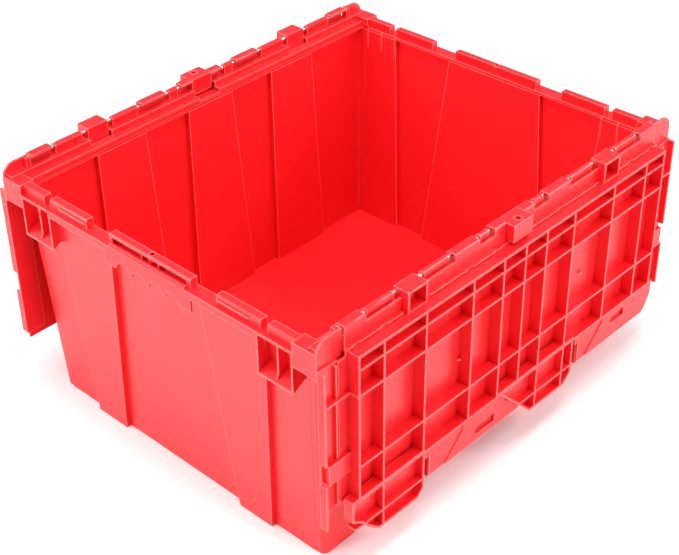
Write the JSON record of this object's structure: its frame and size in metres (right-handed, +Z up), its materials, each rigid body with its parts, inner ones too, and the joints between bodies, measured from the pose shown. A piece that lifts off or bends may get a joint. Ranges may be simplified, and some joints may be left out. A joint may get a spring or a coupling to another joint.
{
  "type": "attached lid tote",
  "caption": "Rectangular moulded tote with drafted walls and two ribbed lid leaves that hinge on rods along the long sides and interlock when closed.",
  "frame": {"origin": "middle of the base, on the surface the tote stands on", "axes": "+X along the hinged long sides, +Y across the tote towards the rear lid, +Z up"},
  "size_m": [0.607, 0.5394, 0.32],
  "materials": {
    "tote_plastic": "semi-gloss moulded red",
    "lid_plastic": "semi-gloss moulded red",
    "rod_steel": "drawn wire"
  },
  "bodies": {
    "tote": {"tote_body": "tote_plastic", "front_hinge_rod": "rod_steel", "rear_hinge_rod": "rod_steel"},
    "front_lid": {"front_lid": "lid_plastic"},
    "rear_lid": {"rear_lid": "lid_plastic"}
  },
  "joints": [
    {"name": "front_lid_hinge", "type": "hinge", "parent": "tote", "child": "front_lid", "pos_m": [0, -0.2445, 0.316], "axis": [-1, 0, 0], "range_deg": [0, 270]},
    {"name": "rear_lid_hinge", "type": "hinge", "parent": "tote", "child": "rear_lid", "pos_m": [0, 0.2445, 0.316], "axis": [1, 0, 0], "range_deg": [0, 270]}
  ]
}
